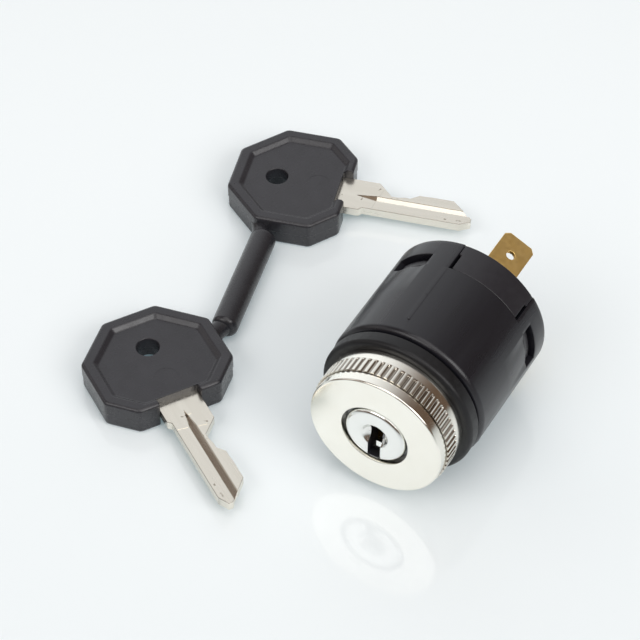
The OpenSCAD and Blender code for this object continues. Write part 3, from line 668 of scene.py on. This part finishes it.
r, soft, length = link["r"], link["round"], (linkEnds[1] - linkEnds[0]).length
linkProfile = [(0.0, 0.0)] + arcPoints(r - soft, soft, soft, -90, 0, 8)
linkProfile += arcPoints(r - soft, length - soft, soft, 0, 90, 8) + [(0.0, length)]
rods = [rodBetween(linkEnds[0], linkEnds[1], linkProfile, 48)]
for onHead, end, (neck, place, reach, shift) in zip((headCorner, headSide), linkEnds, link["necks"]):
    a, b = onHead + Vector(place), end + reach * linkWay + Vector(shift)
    run = (b - a).length
    neckProfile = [(0.0, 0.0), (neck * 1.1, 0.0), (neck * 1.04, run * 0.3), (neck * 0.96, run * 0.5),
                   (neck, run * 0.75), (neck * 1.06, run), (0.0, run)]
    rods.append(rodBetween(a, b, neckProfile, 24))
keyHeads = heads[0]
keyHeads.name = "keyHeads"
keyHeads.data.materials.append(linkPlastic)
joinInto(keyHeads, [heads[1]] + rods)
shade(keyHeads, 32)
settle(keyHeads, "housing", "key_head_plastic", "key_heads")
print("key heads:", len(keyHeads.data.polygons), "faces")

blade = {"low": 2.1, "thick": 1.85, "half": 3.5, "straight": 3.3, "shoulder": 4.0, "front": 10.05,
         "root": 8.05, "length": 24.4, "firstCut": 8.8, "pitch": 2.6, "cuts": (1.0, 1.3, 2.5, 2.6, 2.6),
         "cutFlat": 0.5, "tang": (1.0, 3.0), "shoulderEnds": (2.8, 3.4, 5.4), "tipSlope": 2.0,
         "tipFace": (1.3, 2.1), "tipTop": (4.2, 0.9), "groove": (0.65, -0.3), "grooveZ": (0.15, 0.65),
         "underZ": 0.55, "entry": (1.75, 5.6), "edge": 0.09, "scoreWide": 0.12, "scoreZ": 0.05,
         "scores": ((15.3, -3.1, -1.2, 0.3), (16.1, 0.5, 2.3, 0.3),
                    (12.9, 0.0, 0.9, -0.1))}  # x, y from and to, and slant of each score
low, high = blade["low"], blade["low"] + blade["thick"]
front, root, shoulder, straight = blade["front"], blade["root"], blade["shoulder"], blade["straight"]
tip, firstCut, bladeHalf = front + blade["length"], front + blade["firstCut"], blade["half"]
tangIn, tangHalf = blade["tang"]
shoulderTo, straightFrom, cutsFrom = [front + x for x in blade["shoulderEnds"]]
faceLow, faceHigh = [y - bladeHalf for y in blade["tipFace"]]
topBack, topDrop = blade["tipTop"]
cutTops = []
for j, cutHeight in enumerate(blade["cuts"]):
    cutX = firstCut + blade["pitch"] * j
    cutTops += [(cutX - blade["cutFlat"], cutHeight), (cutX + blade["cutFlat"], cutHeight)]
outline = [(root - tangIn, -tangHalf), (root, -tangHalf), (root, -shoulder), (shoulderTo, -shoulder),
           (straightFrom, -straight), (tip - blade["tipSlope"], -straight), (tip, faceLow), (tip, faceHigh),
           (tip - topBack, bladeHalf - topDrop)]
outline += cutTops[::-1]
outline += [(cutsFrom, shoulder), (root, shoulder), (root, tangHalf), (root - tangIn, tangHalf)]
grooveHalf, grooveY = blade["groove"]
shallow, deep = blade["grooveZ"]
start, full = [front + x for x in blade["entry"]]
grooveLow, grooveHigh = grooveY - grooveHalf, grooveY + grooveHalf
milling = [(full, grooveLow), (tip + 1, grooveLow), (tip + 1, grooveHigh), (full, grooveHigh)]
entry = [(start, grooveY + 0.1), (full, grooveLow), (full, grooveHigh)]
scoreWide = blade["scoreWide"]
scores = [[(x, y0), (x + scoreWide, y0), (x + scoreWide + slant, y1), (x + slant, y1)]
          for x, y0, y1, slant in blade["scores"]]
for i in (0, 1):
    keyBlade = makePiece("keyBlade%d" % (i + 1), prism([(low, outline), (high, outline)]), nickelSilver,
                         insideFinish["cutterStain"])
    upper = prism([(high - deep, milling), (high + 1, milling)])
    under = prism([(low - 1, milling), (low + blade["underZ"], milling)])
    runOut = prism([(high - deep, entry), (high + 1, entry)])
    for vert in upper.verts:  # the groove's floor slants up towards the cuts
        if vert.co.z < high * mm:
            vert.co.z += (deep - shallow) * ((vert.co.y / mm - grooveY) / grooveHalf + 1) / 2 * mm
    for vert in runOut.verts:  # where the cutter came out, the floor rises to the face
        if vert.co.z < high * mm:
            slant = ((vert.co.y / mm - grooveY) / grooveHalf + 1) / 2
            sunk = 0.03 if vert.co.x / mm < full - 1 else deep + (shallow - deep) * slant
            vert.co.z = (high - sunk) * mm
    carve(keyBlade, [upper, under, runOut])
    roundEdges(keyBlade, blade["edge"], 30)
    carve(keyBlade, [prism([(high - blade["scoreZ"], score), (high + 1, score)]) for score in scores])
    for face in keyBlade.data.polygons:
        x, y, z = face.center / mm
        off = abs(y - grooveY)
        if i == 0 and start < x < full and off < grooveHalf and low + 1 < z < high - 0.02:
            face.material_index = 1  # one key is darker brown in the groove's run-out
        if 0.2 < face.normal.z < 0.9 and z > high - 0.1 and off > grooveHalf + 0.2:
            face.material_index = 1  # and both along their edges
    bladePlace = keyBlade.data.attributes.new("bladePlace", 'FLOAT_VECTOR', 'POINT')
    for n, vert in enumerate(keyBlade.data.vertices):
        bladePlace.data[n].vector = vert.co
    keyBlade.data.transform(onTable(i))
    shade(keyBlade, 30)
    settle(keyBlade, "housing", "key_nickel", "key_blade_%d" % (i + 1))
print("key blades")


# Pieces inside keep their solids and get their finishes
wearers = {"lock_barrel": "castZinc", "lock_plug": "plugZinc", "wafer": "waferBrass",
           "wafer_spring": "springSteel", "plug_clip": "springSteel", "return_spring": "springSteel",
           "rotor": "acetal", "contact_bridge": "contactCopper", "contact_spring": "springSteel",
           "detent_ball": "ballSteel", "detent_spring": "springSteel", "contact_rivet": "silverRivet"}
dressed = 0
for name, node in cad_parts.items():
    kind = name.rstrip("0123456789").rstrip("_")
    if kind in wearers:
        node.data.materials.clear()
        node.data.materials.append(insideFinish[wearers[kind]])
        dressed += 1
print("pieces inside:", dressed)


# White glossy table that glows faintly cyan, painted light that keeps its shadows pale, and a little darker
# at the front as painted shade
table = {"z": -0.01501, "radius": 1.5, "tones": ("#E0E2E3", "#EDEFF0"), "fade": (-0.09, 0.13),
         "away": (-0.5, 0.86, 0.0), "cloud": 111.1, "uneven": 0.04, "gloss": 0.06, "glow": 0.145,
         "glowTone": "#BFE9F6"}  # in metres, apart from the cloud's size in mm
# painted light: the table's own faint emission lifts its shadows and tints them cyan
whiteLaminate, tree, shader, coords = startMaterial("whiteLaminate", {
    'IOR': 1.45, 'Roughness': table["gloss"], 'Emission Color': linear(table["glowTone"]),
    'Emission Strength': table["glow"]})
cloud = addNode(tree, 'ShaderNodeTexNoise',
                {'Vector': coords, 'Scale': perMm(table["cloud"]), 'Detail': 2.0})
# painted shade: the tone darkens towards the front, against the lamps' brighter light there, with a faint
# random cloud
away = addNode(tree, 'ShaderNodeVectorMath', {0: coords, 1: table["away"]}, operation='DOT_PRODUCT')
uneven = addNode(tree, 'ShaderNodeMath',
                 {0: cloud.outputs[0], 1: table["uneven"], 2: away.outputs['Value']},
                 operation='MULTIPLY_ADD')
fade = addNode(tree, 'ShaderNodeMapRange',
               {'Value': uneven.outputs[0], 1: table["fade"][0], 2: table["fade"][1]},
               interpolation_type='SMOOTHSTEP')
tone = addNode(tree, 'ShaderNodeMix',
               {0: fade.outputs[0], 6: linear(table["tones"][0]), 7: linear(table["tones"][1])},
               data_type='RGBA')
tree.links.new(tone.outputs[2], shader.inputs['Base Color'])
build = bmesh.new()
bmesh.ops.create_circle(build, cap_ends=True, radius=table["radius"], segments=96,
                        matrix=Matrix.Translation((0, 0, table["z"])))
studioTable = makePiece("studioTable", build, whiteLaminate)

# Brown room that is bright towards its back left, and soft lamps overhead, in front and at the sides
room = {"wall": "#5E4D40", "window": "#FBFDFF", "brightness": 1.12, "fromX": (0.7, -0.75),
        "fromY": (0.12, 0.48)}
world = bpy.data.worlds.new("studioRoom")
world.use_nodes = True
tree = world.node_tree
outlook = addNode(tree, 'ShaderNodeTexCoord').outputs['Generated']
gaze = addNode(tree, 'ShaderNodeSeparateXYZ', {0: outlook})
leftward = addNode(tree, 'ShaderNodeMapRange',
                   {'Value': gaze.outputs['X'], 1: room["fromX"][0], 2: room["fromX"][1]},
                   interpolation_type='SMOOTHSTEP')
rearward = addNode(tree, 'ShaderNodeMapRange',
                   {'Value': gaze.outputs['Y'], 1: room["fromY"][0], 2: room["fromY"][1]},
                   interpolation_type='SMOOTHSTEP')
bright = addNode(tree, 'ShaderNodeMath', {0: leftward.outputs[0], 1: rearward.outputs[0]},
                 operation='MULTIPLY')
tone = addNode(tree, 'ShaderNodeMix',
               {0: bright.outputs[0], 6: linear(room["wall"]), 7: linear(room["window"])},
               data_type='RGBA')
tree.links.new(tone.outputs[2], tree.nodes["Background"].inputs[0])
tree.nodes["Background"].inputs[1].default_value = room["brightness"]
scene.world = world
lamps = {  # place and size in metres, power
    "topLamp": ((0.25, -0.15, 0.9), (0.75, 1.2), 4.6),
    "frontLamp": ((-0.28, -0.93, 0.93), (1.0, 0.6), 5.0),
    "rightLamp": ((1.08, -0.2, 0.78), (1.0, 0.7), 7.5),
    "leftLamp": ((-1.1, -0.35, 0.6), (1.0, 0.7), 1.5),
}
for name, (at, size, power) in lamps.items():
    lampData = bpy.data.lights.new(name, 'AREA')
    lampData.shape = 'RECTANGLE'
    lampData.size, lampData.size_y = size
    lampData.energy = power
    lamp = bpy.data.objects.new(name, lampData)
    lamp.location = at
    lamp.rotation_euler = (-Vector(at)).to_track_quat('-Z', 'Y').to_euler()
    scene.collection.objects.link(lamp)

# Camera where the photograph was taken from, measured in mm and degrees from the bezel's face
view = {"rise": 47.055, "turn": 29.831, "far": 436.77, "aside": (-9.291, 19.824),
        "aim": (0.0, -7.5, 0.0), "lens": 143.79}
rise, turnBy = radians(view["rise"]), radians(view["turn"])
right = Vector((cos(turnBy), sin(turnBy), 0))
back = Vector((sin(turnBy) * cos(rise), -cos(turnBy) * cos(rise), sin(rise)))
up = back.cross(right)
eye = Vector(view["aim"]) + back * view["far"] + right * view["aside"][0] + up * view["aside"][1]
cameraData = bpy.data.cameras.new("studioCamera")
cameraData.lens = view["lens"]
cameraData.sensor_width = 36
cameraData.clip_start = 0.01
studioCamera = bpy.data.objects.new("studioCamera", cameraData)
studioCamera.matrix_world = Matrix.Translation(eye * mm) @ Matrix((right, up, back)).transposed().to_4x4()
scene.collection.objects.link(studioCamera)
scene.camera = studioCamera
print("stage, lamps and camera")
